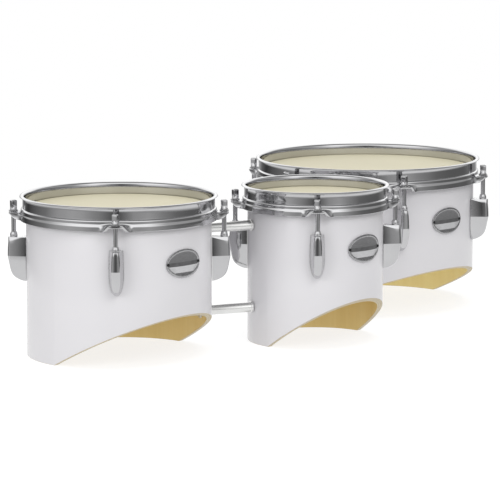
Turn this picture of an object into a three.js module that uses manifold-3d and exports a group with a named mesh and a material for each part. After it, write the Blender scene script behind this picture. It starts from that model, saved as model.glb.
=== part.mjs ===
// Marching tenor drums: three single-headed drums with slant-cut shells, joined by link tubes.
// Millimetres. +X runs along the row, from the left drum to the right drum as the audience sees
// them, +Y points at the player and +Z is up. The shells stand on the floor on their deep halves.
import * as THREE from "three";
import { mergeVertices } from "three/addons/utils/BufferGeometryUtils.js";
import Module from "manifold-3d";

// Driving dimensions of the row
const leftShellDiameter = 203.2;
const middleShellDiameter = 152.4;
const rightShellDiameter = 254;
const shellGap = 57;
const middleForward = 92;
const rightBack = 35.5;
const rimHeight = 176.5;

// Fits: a piece stays this far from what it seats on, and a cutter overruns what it cuts
const seat = 0.3;
const overrun = 5;
const mergeDistance = 0.001;

// Shell
const shellWall = 6;
const cutRise = 54;
const leftCutTurn = THREE.MathUtils.degToRad(2.7);

// Drumhead: film drawn over the shell's edge and held in a flesh hoop
const headDrop = 13;
const filmThickness = 0.8;
const fleshHoopWidth = 3;
const fleshHoopHeight = 7;

// Counterhoop, pressed from one sheet: lip, wall, shoulder, skirt and ears
const hoopSheet = 2.2;
const hoopHeight = 26.5;
const hoopRunning = 0.5;
const lipReach = 3.2;
const lipRound = 1.2;
const shoulderDrop = 14;
const earDrop = 19.85;
const earWidth = 19;
const earCorner = 6;
const earFlare = 10.5;
const earMargin = 5;

// Tension rod with a square head
const rodOffset = 13.7;
const rodDiameter = 5.5;
const rodLength = 53.5;
const headSquare = 6.3;
const headHeight = 7;
const headConeHeight = 4.2;
const headFlangeDiameter = 10.4;
const headFlangeHeight = 1.2;
const headTurn = THREE.MathUtils.degToRad(45);

// Lug, and the nut that its rod turns in
const lugDrop = 46.8;
const lugHeight = 49.2;
const lugWidth = 17;
const lugProjection = 20.8;
const nutCollarHeight = 5.4;
const nutCollarTopDiameter = 7.4;
const nutCollarBaseDiameter = 8.9;
const nutBarrelDiameter = 8.2;
const nutBarrelLength = 14;
const rodTipRoom = 2;

// Badge
const badgeWidth = 49.6;
const badgeHeight = 31;
const badgeThickness = 1.6;
const badgeDrop = 65.3;

// Link tubes between neighbouring shells
const linkDiameter = 11.3;
const linkBore = 8.3;
const linkFlangeDiameter = 12.8;
const linkFlangeThickness = 2.8;
const upperLinkDrop = 43;
const lowerLinkDrop = 135.5;

// Carrier brackets on the player's side of the outer drums
const bracketDrop = 62;
const bracketHeight = 80;
const bracketWidth = 26;
const bracketThickness = 4;
const bracketHoleDiameter = 6.5;
const bracketHoleInset = 10;
const socketDiameter = 24;
const socketBore = 14.5;
const socketHeight = 42;
const socketSink = 2;

// How finely round shapes are faceted
const ringSides = 60;
const roundSides = 12;
const tubeSides = 16;
const badgeSides = 28;

// The lug's three outlines, each from its top down or from its back out:
// [projection, height], [half width, height] and [projection, half width]
const lugSideShares = [
  [0.915, 0],
  [0.97, 0.14],
  [1, 0.3],
  [0.98, 0.43],
  [0.935, 0.56],
  [0.87, 0.7],
  [0.775, 0.8],
  [0.63, 0.88],
  [0, 1],
];
const lugFrontShares = [[1, 0], [1, 0.72], [0.93, 0.85], [0.78, 0.94], [0.48, 1]];
const lugPlanShares = [[0, 1], [0.82, 1], [0.94, 0.92], [1, 0.74]];

// Where the counterhoop's columns stand on an ear's half width, and on the flare beside it
const earColumnShares = [0, 0.4, 0.75, 1];
const flareColumnShares = [0.33, 0.66, 1];

const chrome = new THREE.MeshStandardMaterial({ color: 0xc8cacd, metalness: 1, roughness: 0.12 });
const steel = new THREE.MeshStandardMaterial({ color: 0xa9abae, metalness: 1, roughness: 0.28 });
const whiteWrap = new THREE.MeshStandardMaterial({ color: 0xe9e8ea, metalness: 0, roughness: 0.22 });
const creamFilm = new THREE.MeshStandardMaterial({ color: 0xddd6bd, metalness: 0, roughness: 0.5 });
const badgeMetal = new THREE.MeshStandardMaterial({ color: 0x55575b, metalness: 0.8, roughness: 0.35 });
const blackSteel = new THREE.MeshStandardMaterial({ color: 0x2a2b2d, metalness: 0.9, roughness: 0.4 });

const wasm = await Module();
wasm.setup();

// Heights above the floor
const headTop = rimHeight - headDrop;
const shellTop = headTop - filmThickness - seat;
const shoulderTop = rimHeight - shoulderDrop;
const shoulderBottom = shoulderTop - hoopSheet;
const fleshHoopTop = shoulderBottom - seat;
const earMiddle = rimHeight - earDrop;
const rodSeat = earMiddle + hoopSheet / 2 + seat;
const rodTip = rodSeat - rodLength;
const lugTop = rimHeight - lugDrop;
const nutSeat = lugTop + seat;
const nutBottom = nutSeat - nutBarrelLength;

// Offsets outside the shell's radius
const filmOffset = seat + filmThickness;
const wallInnerOffset = filmOffset + hoopRunning;
const wallOuterOffset = wallInnerOffset + hoopSheet;
const lipOffset = wallOuterOffset + lipReach;
const fleshHoopOffset = filmOffset + fleshHoopWidth;
const skirtInnerOffset = fleshHoopOffset + hoopRunning;
const skirtOuterOffset = skirtInnerOffset + hoopSheet;
const skirtMiddleOffset = skirtInnerOffset + hoopSheet / 2;
const earTipOffset = rodOffset + earMargin;

// A closed geometry as a solid that can be joined and cut
function solidOf(geometry) {
  const bare = geometry.clone();
  bare.deleteAttribute("normal");
  bare.deleteAttribute("uv");
  const merged = mergeVertices(bare, mergeDistance);
  const vertProperties = merged.getAttribute("position").array;
  const triVerts = new Uint32Array(merged.index.array);
  return new wasm.Manifold(new wasm.Mesh({ numProp: 3, vertProperties, triVerts }));
}

// The geometry of a finished solid
function geometryOf(solid) {
  const { vertProperties, triVerts } = solid.getMesh();
  const geometry = new THREE.BufferGeometry();
  geometry.setAttribute("position", new THREE.BufferAttribute(new Float32Array(vertProperties), 3));
  geometry.setIndex(new THREE.BufferAttribute(new Uint32Array(triVerts), 1));
  geometry.computeVertexNormals();
  return geometry;
}

function meshNamed(name, geometry, material) {
  const mesh = new THREE.Mesh(geometry, material);
  mesh.name = name;
  return mesh;
}

// A profile of [radius, height] pairs turned round the upright axis
function turned(profile, sides) {
  const points = profile.map(([radius, height]) => new THREE.Vector2(radius, height));
  return new THREE.LatheGeometry(points, sides).rotateX(Math.PI / 2);
}

// An upright round bar between two heights
function roundBar(radius, bottom, top, sides) {
  return turned([[0, bottom], [radius, bottom], [radius, top], [0, top]], sides);
}

// An outline of [across, up] pairs, with any holes, extruded along +Z
function extruded(outline, depth, holes = []) {
  const shape = new THREE.Shape(outline.map(([across, up]) => new THREE.Vector2(across, up)));
  shape.holes = holes;
  return new THREE.ExtrudeGeometry(shape, { depth, bevelEnabled: false });
}

// An outline seen along the Y axis ([x, z] pairs), extruded evenly to both sides
function extrudedSideways(outline, depth) {
  return extruded(outline, depth).rotateX(Math.PI / 2).translate(0, depth / 2, 0);
}

// An outline seen along the X axis ([y, z] pairs), extruded from x = 0
function extrudedForwards(outline, depth, holes) {
  return extruded(outline, depth, holes).rotateX(Math.PI / 2).rotateZ(Math.PI / 2);
}

// The radius of a faceted bore in which a round shaft turns freely
function boreRadius(shaftDiameter) {
  return (shaftDiameter / 2 + seat) / Math.cos(Math.PI / roundSides);
}

// The shell is a tube whose front is cut off on a slant that starts at the floor below the axis.
// The cut faces the audience, turned about the axis by a small angle.
function shellGeometry(radius, cutTurn) {
  const inner = radius - shellWall;
  const tube = turned([[inner, 0], [radius, 0], [radius, shellTop], [inner, shellTop], [inner, 0]], ringSides);
  const slope = cutRise / radius;
  const reach = radius + overrun;
  const below = -slope * overrun;
  const wedge = extrudedSideways([[-overrun, below], [reach, below], [reach, slope * reach]], 2 * reach);
  return geometryOf(solidOf(tube).subtract(solidOf(wedge.rotateZ(cutTurn - Math.PI / 2))));
}

// The film lies on the shell's edge, turns down outside it and ends in the flesh hoop
function headGeometry(radius) {
  const collarInner = radius + seat;
  const collarOuter = radius + filmOffset;
  const hoopOuter = radius + fleshHoopOffset;
  const hoopBottom = fleshHoopTop - fleshHoopHeight;
  const underside = headTop - filmThickness;
  const profile = [
    [0, underside],
    [collarInner, underside],
    [collarInner, hoopBottom],
    [hoopOuter, hoopBottom],
    [hoopOuter, fleshHoopTop],
    [collarOuter, fleshHoopTop],
    [collarOuter, underside],
    [collarInner, headTop],
    [0, headTop],
  ];
  return turned(profile, ringSides);
}

// How the skirt's sheet runs at a distance along the hoop from the middle of the nearest ear:
// folded straight down on the skirt, straight out on the ear, and turning over on the flare
function skirtFold(distance) {
  const half = earWidth / 2;
  const skirtLength = hoopHeight - earDrop;
  const earLength = earTipOffset - skirtMiddleOffset;
  const intoCorner = Math.max(0, Math.min(distance, half) - (half - earCorner));
  const rounded = earCorner - Math.sqrt(earCorner * earCorner - intoCorner * intoCorner);
  const along = Math.min(1, Math.max(0, distance - half) / earFlare);
  const turn = along * along * (3 - 2 * along);
  const length = THREE.MathUtils.lerp(earLength - rounded, skirtLength, along);
  return { angle: (Math.PI / 2) * (1 - turn), length };
}

// The counterhoop's section at one column, from the top of its wall inside round to its foot
function hoopSection(radius, distance) {
  const { angle, length } = skirtFold(distance);
  const wallInner = radius + wallInnerOffset;
  const wallOuter = radius + wallOuterOffset;
  const lip = radius + lipOffset;
  const skirtInner = radius + skirtInnerOffset;
  const skirtOuter = radius + skirtOuterOffset;
  const half = hoopSheet / 2;
  const tipRadius = radius + skirtMiddleOffset + length * Math.sin(angle);
  const tipHeight = earMiddle - length * Math.cos(angle);
  const sheetOut = half * Math.cos(angle);
  const sheetUp = half * Math.sin(angle);
  return [
    [wallInner, shoulderBottom],
    [skirtInner, shoulderBottom],
    [skirtInner, earMiddle - sheetUp],
    [tipRadius - sheetOut, tipHeight - sheetUp],
    [tipRadius + sheetOut, tipHeight + sheetUp],
    [skirtOuter, earMiddle + sheetUp],
    [skirtOuter, shoulderTop],
    [wallOuter, shoulderTop],
    [wallOuter, rimHeight - hoopSheet],
    [lip, rimHeight - hoopSheet],
    [lip, rimHeight],
    [wallInner + lipRound, rimHeight],
    [wallInner, rimHeight - lipRound],
  ];
}

// The hoop's columns: an even ring, replaced near each ear by columns that follow the ear
function hoopColumns(radius, earAngles) {
  const rodCircle = radius + rodOffset;
  const half = earWidth / 2;
  const distances = earColumnShares.map((share) => share * half);
  distances.push(...flareColumnShares.map((share) => half + share * earFlare));
  const earReach = (half + earFlare) / rodCircle;
  const step = (2 * Math.PI) / ringSides;
  const columns = [];
  for (const ear of earAngles)
    for (const distance of distances)
      for (const side of distance ? [-1, 1] : [1])
        columns.push({ angle: ear + (side * distance) / rodCircle, distance });
  for (let i = 0; i < ringSides; i++) {
    const angle = i * step;
    const nearest = Math.min(...earAngles.map((ear) => angleBetween(angle, ear)));
    if (nearest > earReach + step / 3) columns.push({ angle, distance: half + earFlare });
  }
  return columns.sort((a, b) => turnedPositive(a.angle) - turnedPositive(b.angle));
}

function turnedPositive(angle) {
  return THREE.MathUtils.euclideanModulo(angle, 2 * Math.PI);
}

function angleBetween(a, b) {
  const apart = turnedPositive(a - b);
  return Math.min(apart, 2 * Math.PI - apart);
}

// The counterhoop is skinned over its columns, then drilled for the rods
function counterHoopGeometry(radius, earAngles) {
  const positions = [];
  const index = [];
  const columns = hoopColumns(radius, earAngles);
  for (const { angle, distance } of columns)
    for (const [out, up] of hoopSection(radius, distance))
      positions.push(out * Math.cos(angle), out * Math.sin(angle), up);
  const ring = positions.length / 3 / columns.length;
  for (let i = 0; i < columns.length; i++)
    for (let k = 0; k < ring; k++) {
      const here = i * ring;
      const next = ((i + 1) % columns.length) * ring;
      const above = (k + 1) % ring;
      index.push(here + k, next + k, next + above, here + k, next + above, here + above);
    }
  const skin = new THREE.BufferGeometry();
  skin.setAttribute("position", new THREE.BufferAttribute(new Float32Array(positions), 3));
  skin.setIndex(index);
  let hoop = solidOf(skin);
  for (const ear of earAngles) {
    const drill = roundBar(boreRadius(rodDiameter), earMiddle - overrun, earMiddle + overrun, roundSides);
    drill.translate(radius + rodOffset, 0, 0).rotateZ(ear);
    hoop = hoop.subtract(solidOf(drill));
  }
  return geometryOf(hoop);
}

// The rod, about its own axis: shank, flange, cone and square head
function tensionRodGeometry() {
  const shank = rodDiameter / 2;
  const flange = headFlangeDiameter / 2;
  const flangeTop = rodSeat + headFlangeHeight;
  const coneTop = flangeTop + headConeHeight;
  const headTopHeight = coneTop + headHeight;
  const stem = turned(
    [
      [0, rodTip],
      [shank, rodTip],
      [shank, rodSeat],
      [flange, rodSeat],
      [flange, flangeTop],
      [headSquare / 2, coneTop],
      [0, coneTop],
    ],
    roundSides,
  );
  const head = new THREE.BoxGeometry(headSquare, headSquare, headHeight + headConeHeight);
  head.translate(0, 0, headTopHeight - (headHeight + headConeHeight) / 2);
  return geometryOf(solidOf(stem).add(solidOf(head)));
}

// The swivel nut: its tapered collar stands on the lug and its barrel hangs inside
function lugNutGeometry() {
  const bore = boreRadius(rodDiameter);
  const barrel = nutBarrelDiameter / 2;
  const collarTop = nutSeat + nutCollarHeight;
  const profile = [
    [bore, nutBottom],
    [barrel, nutBottom],
    [barrel, nutSeat],
    [nutCollarBaseDiameter / 2, nutSeat],
    [nutCollarTopDiameter / 2, collarTop],
    [bore, collarTop],
    [bore, nutBottom],
  ];
  return turned(profile, roundSides);
}

// The lug is what its side, front and plan outlines have in common, bored for the nut and the rod.
// It is made about its rod's axis, with the drum's axis on its -X side.
function lugGeometry() {
  const back = seat - rodOffset;
  const deep = lugProjection - seat;
  const halfWidth = lugWidth / 2;
  const side = lugSideShares.map(([out, down]) => [back + out * deep, lugTop - down * lugHeight]);
  const oneSide = lugFrontShares.map(([wide, down]) => [wide * halfWidth, lugTop - down * lugHeight]);
  const onePlan = lugPlanShares.map(([out, wide]) => [back + out * deep, wide * halfWidth]);
  const front = [...oneSide, ...oneSide.map(([wide, up]) => [-wide, up]).reverse()];
  const plan = [...onePlan, ...onePlan.map(([out, wide]) => [out, -wide]).reverse()];
  const sideSolid = solidOf(extrudedSideways([[back, lugTop], ...side], lugWidth + overrun));
  const frontSolid = solidOf(extrudedForwards(front, deep + 2 * overrun).translate(back - overrun, 0, 0));
  const planHeight = lugHeight + 2 * overrun;
  const planSolid = solidOf(extruded(plan, planHeight).translate(0, 0, lugTop + overrun - planHeight));
  const pocket = roundBar(nutBarrelDiameter / 2 + seat, nutBottom - seat, lugTop + overrun, roundSides);
  const rodRoom = roundBar(boreRadius(rodDiameter), rodTip - rodTipRoom, lugTop, roundSides);
  const block = sideSolid.intersect(frontSolid).intersect(planSolid);
  return geometryOf(block.subtract(solidOf(pocket)).subtract(solidOf(rodRoom)));
}

// The badge is an oval cut from a thin ring round the shell, at the drum's front
function badgeGeometry(radius) {
  const inner = radius + seat;
  const outer = inner + badgeThickness;
  const centre = rimHeight - badgeDrop;
  const bottom = centre - badgeHeight;
  const top = centre + badgeHeight;
  const ring = turned([[inner, bottom], [outer, bottom], [outer, top], [inner, top], [inner, bottom]], ringSides);
  const oval = [];
  for (let i = 0; i < badgeSides; i++) {
    const angle = (2 * Math.PI * i) / badgeSides;
    oval.push([(badgeWidth / 2) * Math.cos(angle), centre + (badgeHeight / 2) * Math.sin(angle)]);
  }
  const plug = extrudedForwards(oval, outer + overrun).rotateZ(-Math.PI / 2);
  return geometryOf(solidOf(ring).intersect(solidOf(plug)));
}

// A link tube with a flange at each end, along +X from x = 0
function linkGeometry(length) {
  const bore = linkBore / 2;
  const tube = linkDiameter / 2;
  const flange = linkFlangeDiameter / 2;
  const profile = [
    [bore, 0],
    [flange, 0],
    [flange, linkFlangeThickness],
    [tube, linkFlangeThickness],
    [tube, length - linkFlangeThickness],
    [flange, length - linkFlangeThickness],
    [flange, length],
    [bore, length],
    [bore, 0],
  ];
  return turned(profile, tubeSides).rotateY(Math.PI / 2);
}

// A bracket plate with an upright socket for the carrier's rod, with the shell at x = 0
function bracketGeometry() {
  const top = rimHeight - bracketDrop;
  const bottom = top - bracketHeight;
  const half = bracketWidth / 2;
  const outline = [[-half, bottom], [half, bottom], [half, top], [-half, top]];
  const holes = [bottom + bracketHoleInset, top - bracketHoleInset].map((height) => {
    const hole = new THREE.Path();
    hole.setFromPoints(
      Array.from({ length: roundSides }, (_, i) => {
        const angle = (2 * Math.PI * i) / roundSides;
        const hub = bracketHoleDiameter / 2;
        return new THREE.Vector2(hub * Math.cos(angle), height + hub * Math.sin(angle));
      }),
    );
    return hole;
  });
  const plate = extrudedForwards(outline, bracketThickness, holes).translate(seat, 0, 0);
  const outer = socketDiameter / 2;
  const bore = socketBore / 2;
  const foot = (top + bottom - socketHeight) / 2;
  const head = foot + socketHeight;
  const socket = turned([[bore, foot], [outer, foot], [outer, head], [bore, head], [bore, foot]], tubeSides);
  socket.translate(seat + bracketThickness - socketSink + outer, 0, 0);
  return geometryOf(solidOf(plate).add(solidOf(socket)));
}

// A group turned about the upright axis, so that its own +X points at an angle
function facing(angle, distance, ...meshes) {
  const group = new THREE.Group();
  group.rotation.z = angle;
  for (const mesh of meshes) {
    mesh.position.x = distance;
    group.add(mesh);
  }
  return group;
}

function earAnglesOf(drum) {
  const first = THREE.MathUtils.degToRad(drum.firstLug);
  return Array.from({ length: drum.lugs }, (_, i) => first + (i * 2 * Math.PI) / drum.lugs);
}

// One drum, about its own axis
function drumGroup(drum) {
  const group = new THREE.Group();
  const radius = drum.diameter / 2;
  const ears = earAnglesOf(drum);
  group.add(meshNamed(`${drum.name}_shell`, shellGeometry(radius, drum.cutTurn), whiteWrap));
  group.add(meshNamed(`${drum.name}_drumhead`, headGeometry(radius), creamFilm));
  group.add(meshNamed(`${drum.name}_counter_hoop`, counterHoopGeometry(radius, ears), chrome));
  group.add(meshNamed(`${drum.name}_badge`, badgeGeometry(radius), badgeMetal));
  ears.forEach((angle, i) => {
    const lug = meshNamed(`${drum.name}_lug_${i + 1}`, lugGeometry(), chrome);
    const nut = meshNamed(`${drum.name}_swivel_nut_${i + 1}`, lugNutGeometry(), steel);
    const rod = meshNamed(`${drum.name}_tension_rod_${i + 1}`, tensionRodGeometry(), chrome);
    rod.rotation.z = headTurn - angle;
    group.add(facing(angle, radius + rodOffset, lug, nut, rod));
  });
  group.position.set(drum.x, drum.y, 0);
  return group;
}

// A pair of link tubes along the line between two drums' axes
function linkGroup(name, from, to) {
  const group = new THREE.Group();
  const length = shellGap - 2 * seat;
  const heights = { upper: rimHeight - upperLinkDrop, lower: rimHeight - lowerLinkDrop };
  for (const [place, height] of Object.entries(heights)) {
    const tube = meshNamed(`${name}_${place}_link_tube`, linkGeometry(length), chrome);
    tube.position.z = height;
    group.add(facing(Math.atan2(to.y - from.y, to.x - from.x), from.diameter / 2 + seat, tube));
  }
  group.position.set(from.x, from.y, 0);
  return group;
}

// The drums' places: each neighbour stands at the gap along the line between the axes
const left = { name: "left", diameter: leftShellDiameter, lugs: 4, firstLug: 45, cutTurn: leftCutTurn };
const middle = { name: "middle", diameter: middleShellDiameter, lugs: 4, firstLug: 45, cutTurn: 0 };
const right = { name: "right", diameter: rightShellDiameter, lugs: 6, firstLug: 0, cutTurn: 0 };
Object.assign(left, { x: 0, y: 0 });
middle.y = -middleForward;
right.y = rightBack;
middle.x = left.x + acrossTo(left, middle);
right.x = middle.x + acrossTo(middle, right);

function acrossTo(from, to) {
  const apart = (from.diameter + to.diameter) / 2 + shellGap;
  const along = to.y - from.y;
  return Math.sqrt(apart * apart - along * along);
}

const tenors = new THREE.Group();
for (const drum of [left, middle, right]) tenors.add(drumGroup(drum));
tenors.add(linkGroup("left_middle", left, middle));
tenors.add(linkGroup("middle_right", middle, right));
for (const drum of [left, right]) {
  const bracket = meshNamed(`${drum.name}_carrier_bracket`, bracketGeometry(), blackSteel);
  const group = facing(Math.PI / 2, drum.diameter / 2, bracket);
  group.position.set(drum.x, drum.y, 0);
  tenors.add(group);
}

// The part's origin is on the floor, under the middle of its bounding box
const box = new THREE.Box3().setFromObject(tenors, true);
const centre = box.getCenter(new THREE.Vector3());
tenors.position.set(-centre.x, -centre.y, -box.min.z);

export default tenors;
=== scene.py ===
# %% [markdown]
# # Three marching tenor drums
# A player carries this row of drums on a harness: an 8 inch, a 6 inch and a 10 inch drum. Each has
# one head, a white shell whose front is cut off on a slant so that it sounds towards the audience,
# and chrome hardware. The CAD model fixes every size and place. This lesson gives each piece its
# finished shape and its surface, with the tools that a modeller uses by hand.

# %% Load the frame
import math
from types import SimpleNamespace

import bmesh
import bpy
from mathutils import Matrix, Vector


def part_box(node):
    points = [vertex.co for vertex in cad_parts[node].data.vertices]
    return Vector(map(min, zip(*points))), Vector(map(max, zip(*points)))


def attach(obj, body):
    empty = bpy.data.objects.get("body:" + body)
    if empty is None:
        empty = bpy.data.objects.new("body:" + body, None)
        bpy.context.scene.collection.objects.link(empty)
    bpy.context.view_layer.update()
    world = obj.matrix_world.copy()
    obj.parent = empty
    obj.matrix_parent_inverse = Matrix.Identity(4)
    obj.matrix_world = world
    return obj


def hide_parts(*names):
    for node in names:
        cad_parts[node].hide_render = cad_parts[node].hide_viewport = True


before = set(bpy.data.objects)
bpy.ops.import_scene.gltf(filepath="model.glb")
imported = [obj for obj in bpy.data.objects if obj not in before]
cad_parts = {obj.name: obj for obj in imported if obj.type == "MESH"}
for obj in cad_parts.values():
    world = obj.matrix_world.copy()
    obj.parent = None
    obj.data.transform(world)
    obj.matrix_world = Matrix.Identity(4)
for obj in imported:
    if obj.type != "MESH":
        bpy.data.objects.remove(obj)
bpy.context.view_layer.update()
mm = 0.001

# %% [markdown]
# ## Where the drums stand
# Blender works in metres, so a size in millimetres is multiplied by mm. The shells in the CAD model
# give each drum's axis and radius. The rods give the places of its lugs. Reading them from the
# frame is safer than typing them again, because they follow when the CAD model changes.

# %% The three drums
def middle_of(node):
    low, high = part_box(node)
    return (low + high) / 2


def facts_of(name, lug_count):
    low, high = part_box(f"{name}_shell")
    axis = (low + high) / 2
    rods = [middle_of(f"{name}_tension_rod_{i + 1}") for i in range(lug_count)]
    turns = [math.atan2(rod.y - axis.y, rod.x - axis.x) for rod in rods]
    radius = (high.x - low.x) / 2
    return SimpleNamespace(name=name, x=axis.x, y=axis.y, radius=radius, turns=turns)


left, middle, right = facts_of("left", 4), facts_of("middle", 4), facts_of("right", 6)
drums = [left, middle, right]
for drum in drums:
    print(drum.name, "drum:", round(2000 * drum.radius, 1), "mm across,", len(drum.turns), "lugs")

# %% Heights above the floor
rim_top = 176.5 * mm
head_top = 163.5 * mm
shell_top = 162.4 * mm
shoulder_middle = 161.4 * mm
flesh_hoop_top, flesh_hoop_foot = 160.0 * mm, 153.0 * mm
ear_middle = 156.65 * mm
rod_seat = 158.05 * mm
lug_top, lug_height = 129.7 * mm, 49.2 * mm
badge_middle = 111.2 * mm
link_heights = {"upper": 133.5 * mm, "lower": 41.0 * mm}
print("the rims are", round(1000 * rim_top, 1), "mm above the floor")

# %% [markdown]
# ## The studio
# The drums were photographed against white, from a little above and from the left. The camera
# stands far away with a long lens, so the drums hardly shrink towards the back. Its place and its
# angles were worked out from the rims and the shells.

# %% Camera
camera_data = bpy.data.cameras.new("camera")
camera_data.sensor_width = 36
camera_data.lens = 229.47
camera_data.clip_end = 50
camera = bpy.data.objects.new("camera", camera_data)
camera.location = (-2609.22 * mm, -2530.3 * mm, 641.5 * mm)
camera.rotation_euler = (math.radians(90 - 8.665), 0, math.radians(-45.56))
bpy.context.scene.collection.objects.link(camera)
bpy.context.scene.camera = camera
bpy.context.scene.view_settings.view_transform = "Standard"
print("the camera is", round(camera.location.length, 2), "m from the row's middle")


# %% [markdown]
# Every material and the studio are built from nodes. A small helper adds a node and gives each input
# a value or a link. Others make a ramp, a sum and a blend of colours, so that each recipe below reads
# as a list of steps.

# %% Node helpers
def node(tree, kind, settings=None, **inputs):
    made = tree.nodes.new(kind)
    for key, value in (settings or {}).items():
        setattr(made, key, value)
    for key, value in inputs.items():
        socket = made.inputs[int(key[1:])] if key[1:].isdigit() else made.inputs[key.replace("_", " ")]
        if isinstance(value, bpy.types.NodeSocket):
            tree.links.new(value, socket)
        else:
            socket.default_value = value
    return made


def ramp(tree, factor, stops):
    made = node(tree, "ShaderNodeValToRGB", i0=factor)
    band = made.color_ramp
    while len(band.elements) < len(stops):
        band.elements.new(0.5)
    for element, (place, colour) in zip(band.elements, stops):
        element.position = place
        element.color = (*colour, 1) if len(colour) == 3 else (colour[0],) * 3 + (1,)
    return made.outputs["Color"]


def maths(tree, operation, *values, kind="ShaderNodeMath", result=0):
    """One step of arithmetic with the numbers and sockets given."""
    inputs = {f"i{k}": value for k, value in enumerate(values)}
    return node(tree, kind, {"operation": operation}, **inputs).outputs[result]


def vector_maths(tree, operation, *values, result="Value"):
    return maths(tree, operation, *values, kind="ShaderNodeVectorMath", result=result)


def blended(tree, factor, first, second, blend="MIX"):
    settings = {"data_type": "RGBA", "blend_type": blend}
    return node(tree, "ShaderNodeMix", settings, i0=factor, i6=first, i7=second).outputs[2]


def grey(level):
    return (level, level, level, 1)


# %% [markdown]
# ## Floor and surroundings
# The floor is pale and glows a little, so that the camera sees it white, and the lamps' light on it
# keeps the drums' soft shadow. Chrome has no colour of its own and shows the room. What a mirror
# sees of the floor is a bright pool round the drums that fades outwards. Its end draws the sharp
# change halfway down each lug.

# %% Floor
def let_go():
    """Nothing is selected, so that the next tool acts on the new piece alone."""
    bpy.ops.object.select_all(action="DESELECT")


let_go()
floor_radius = 0.95
bpy.ops.mesh.primitive_circle_add(vertices=96, radius=floor_radius, fill_type="NGON", location=(0, 0, 0))
floor = bpy.context.object
floor.name = "floor"

floor_material = bpy.data.materials.new("pale_floor")
floor_material.use_nodes = True
tree = floor_material.node_tree
tree.nodes.clear()
place = node(tree, "ShaderNodeTexCoord").outputs["Object"]
far = vector_maths(tree, "LENGTH", place)
pool = ramp(tree, far, [(0.0, (0.95,)), (0.72, (0.92,)), (0.86, (0.4,)), (1.0, (0.3,))])
path = node(tree, "ShaderNodeLightPath")
seen, mirrored = path.outputs["Is Camera Ray"], path.outputs["Is Glossy Ray"]
matt = node(tree, "ShaderNodeBsdfDiffuse", Color=blended(tree, seen, grey(0), grey(0.3)))
glow = node(tree, "ShaderNodeEmission", Color=blended(tree, mirrored, grey(0.8), pool))
both = node(tree, "ShaderNodeAddShader", i0=matt.outputs[0], i1=glow.outputs[0])
node(tree, "ShaderNodeOutputMaterial", Surface=both.outputs[0])
floor.data.materials.append(floor_material)
print("floor", round(floor.dimensions.x, 1), "m across")

# %% [markdown]
# Above the floor a mirror sees a painted room. Its horizon has another grey in each direction: dark
# towards the camera, lighter beside it, and white behind the drums. A hoop turns a little at every
# step, so it shows these greys one after the other. The ceiling is bright before and behind the
# drums and dim at their sides, so the hoops' rolled edges gleam in front and fade at the sides. Any
# other ray meets one even grey, which lights the shells without a tint, and the camera sees white.

# %% Surroundings
world = bpy.data.worlds.new("studio")
bpy.context.scene.world = world
world.use_nodes = True
tree = world.node_tree
tree.nodes.clear()
way = node(tree, "ShaderNodeTexCoord").outputs["Generated"]
to_camera = Vector((camera.location.x, camera.location.y, 0)).normalized()
to_right = Vector((-to_camera.y, to_camera.x, 0))
along = vector_maths(tree, "DOT_PRODUCT", way, to_camera)
across = vector_maths(tree, "DOT_PRODUCT", way, to_right)
bearing = maths(tree, "ARCTAN2", across, along)
bearing = node(tree, "ShaderNodeMapRange", Value=bearing, From_Min=-math.pi, From_Max=math.pi).outputs[0]
greys = [(-180, 0.8), (-165, 0.3), (-150, 0.1), (-136, 0.035), (-119, 0.095), (-95, 0.165), (-75, 0.31),
         (-55, 0.37), (-42, 0.34), (-20, 0.21), (0, 0.06), (12, 0.18), (21, 0.28), (38, 0.34), (55, 0.23),
         (75, 0.13), (95, 0.105), (120, 0.1), (134, 0.16), (155, 0.22), (180, 0.8)]
horizon = ramp(tree, bearing, [(0.5 + degrees / 360, (share,)) for degrees, share in greys])
height = node(tree, "ShaderNodeSeparateXYZ", i0=way).outputs["Z"]
dip_start, blend_height = 0.85, 0.24
lowered = maths(tree, "MAXIMUM", maths(tree, "SUBTRACT", along, dip_start), 0.0)
raised = node(tree, "ShaderNodeMapRange", {"interpolation_type": "SMOOTHSTEP"},
              Value=maths(tree, "SUBTRACT", height, lowered), From_Min=0.0, From_Max=blend_height).outputs[0]
ceiling = ramp(tree, height, [(0.3, (1.0,)), (0.62, (0.95,)), (0.85, (0.4,)), (1.0, (0.2,))])
dimmed = [(-180, 1.0), (-140, 1.0), (-115, 0.3), (-90, 0.4), (-70, 0.75), (-55, 1.0), (38, 1.0), (50, 0.7),
          (62, 0.4), (80, 0.34), (125, 0.3), (145, 1.0), (180, 1.0)]
sides = ramp(tree, bearing, [(0.5 + degrees / 360, (share,)) for degrees, share in dimmed])
room = blended(tree, raised, horizon, blended(tree, 1.0, ceiling, sides, "MULTIPLY"))
path = node(tree, "ShaderNodeLightPath")
seen, mirrored = path.outputs["Is Camera Ray"], path.outputs["Is Glossy Ray"]
even_grey, mirror_gain = grey(0.53), 0.4
shown = blended(tree, seen, blended(tree, mirrored, even_grey, room), grey(1))
power = maths(tree, "MULTIPLY_ADD", mirrored, mirror_gain, 1.0)
light = node(tree, "ShaderNodeBackground", Color=shown, Strength=power)
node(tree, "ShaderNodeOutputWorld", Surface=light.outputs[0])
print("studio", len(tree.nodes), "nodes")


# %% [markdown]
# Three wide lamps give the white shells their soft shading. Mirrors don't see them, because a round
# lamp in the chrome would hide the room's bands.

# %% Lamps
lamp_aim = Vector((0, 0, 0.1))


def soft_lamp(name, size, place, power):
    data = bpy.data.lights.new(name, "AREA")
    data.shape, data.size, data.energy = "DISK", size, power
    lamp = bpy.data.objects.new(name, data)
    lamp.location = place
    lamp.visible_glossy = False
    lamp.rotation_euler = (lamp_aim - Vector(place)).to_track_quat("-Z", "Y").to_euler()
    bpy.context.scene.collection.objects.link(lamp)


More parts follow.
